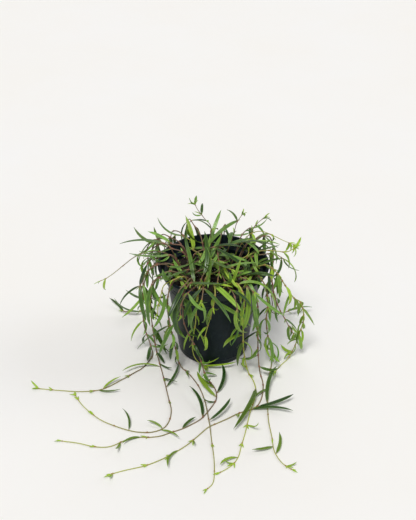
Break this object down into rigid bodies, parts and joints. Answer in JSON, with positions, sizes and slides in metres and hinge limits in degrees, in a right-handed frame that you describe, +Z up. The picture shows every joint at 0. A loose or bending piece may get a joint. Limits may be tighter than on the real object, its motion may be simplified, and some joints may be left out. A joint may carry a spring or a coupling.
{
  "type": "potted string of needles",
  "caption": "Trailing climber with narrow needle-like leaves in a black nursery pot, its wiry vines arching over the rim and lying along the surface.",
  "frame": {"origin": "middle of the pot's flat base, on the surface that the pot and the trailing vines rest on", "axes": "+Z up along the pot's axis; -Y towards the plant's front, where most of the long vines trail; +X to the right as seen from the front"},
  "size_m": [0.3125, 0.3612, 0.1731],
  "materials": {
    "pot": "thin moulded black plastic with a soft sheen",
    "peat": "dark crumbly peat with white grains of perlite",
    "foliage": "smooth green leaves with a soft gloss on thin brownish stems"
  },
  "bodies": {
    "root": {"pot": "pot", "soil": "peat", "back_vine_01": "foliage", "back_vine_02": "foliage", "back_vine_03": "foliage", "cover_vine_01": "foliage", "cover_vine_02": "foliage", "cover_vine_03": "foliage", "cover_vine_04": "foliage", "cover_vine_05": "foliage", "cover_vine_06": "foliage", "cover_vine_07": "foliage", "crown_vine_01": "foliage", "crown_vine_02": "foliage", "crown_vine_03": "foliage", "crown_vine_04": "foliage", "crown_vine_05": "foliage", "crown_vine_06": "foliage", "front_vine_01": "foliage", "front_vine_02": "foliage", "left_vine_01": "foliage", "left_vine_02": "foliage", "left_vine_03": "foliage", "left_vine_04": "foliage", "left_vine_05": "foliage", "left_vine_06": "foliage", "left_vine_07": "foliage", "left_vine_08": "foliage", "right_vine_01": "foliage", "right_vine_02": "foliage", "sprig_top_left": "foliage", "sprig_top_middle": "foliage", "sprig_top_right": "foliage", "vine_base_curl": "foliage", "vine_far_left": "foliage", "vine_front_centre": "foliage", "vine_front_long": "foliage", "vine_front_short": "foliage", "vine_front_sweep": "foliage", "vine_left_bundle": "foliage", "vine_left_tendril": "foliage", "vine_low_sweep": "foliage", "vine_right_front": "foliage", "vine_right_hoop": "foliage", "vine_right_short": "foliage", "vine_right_tendril": "foliage", "vine_right_top": "foliage"}
  },
  "joints": []
}
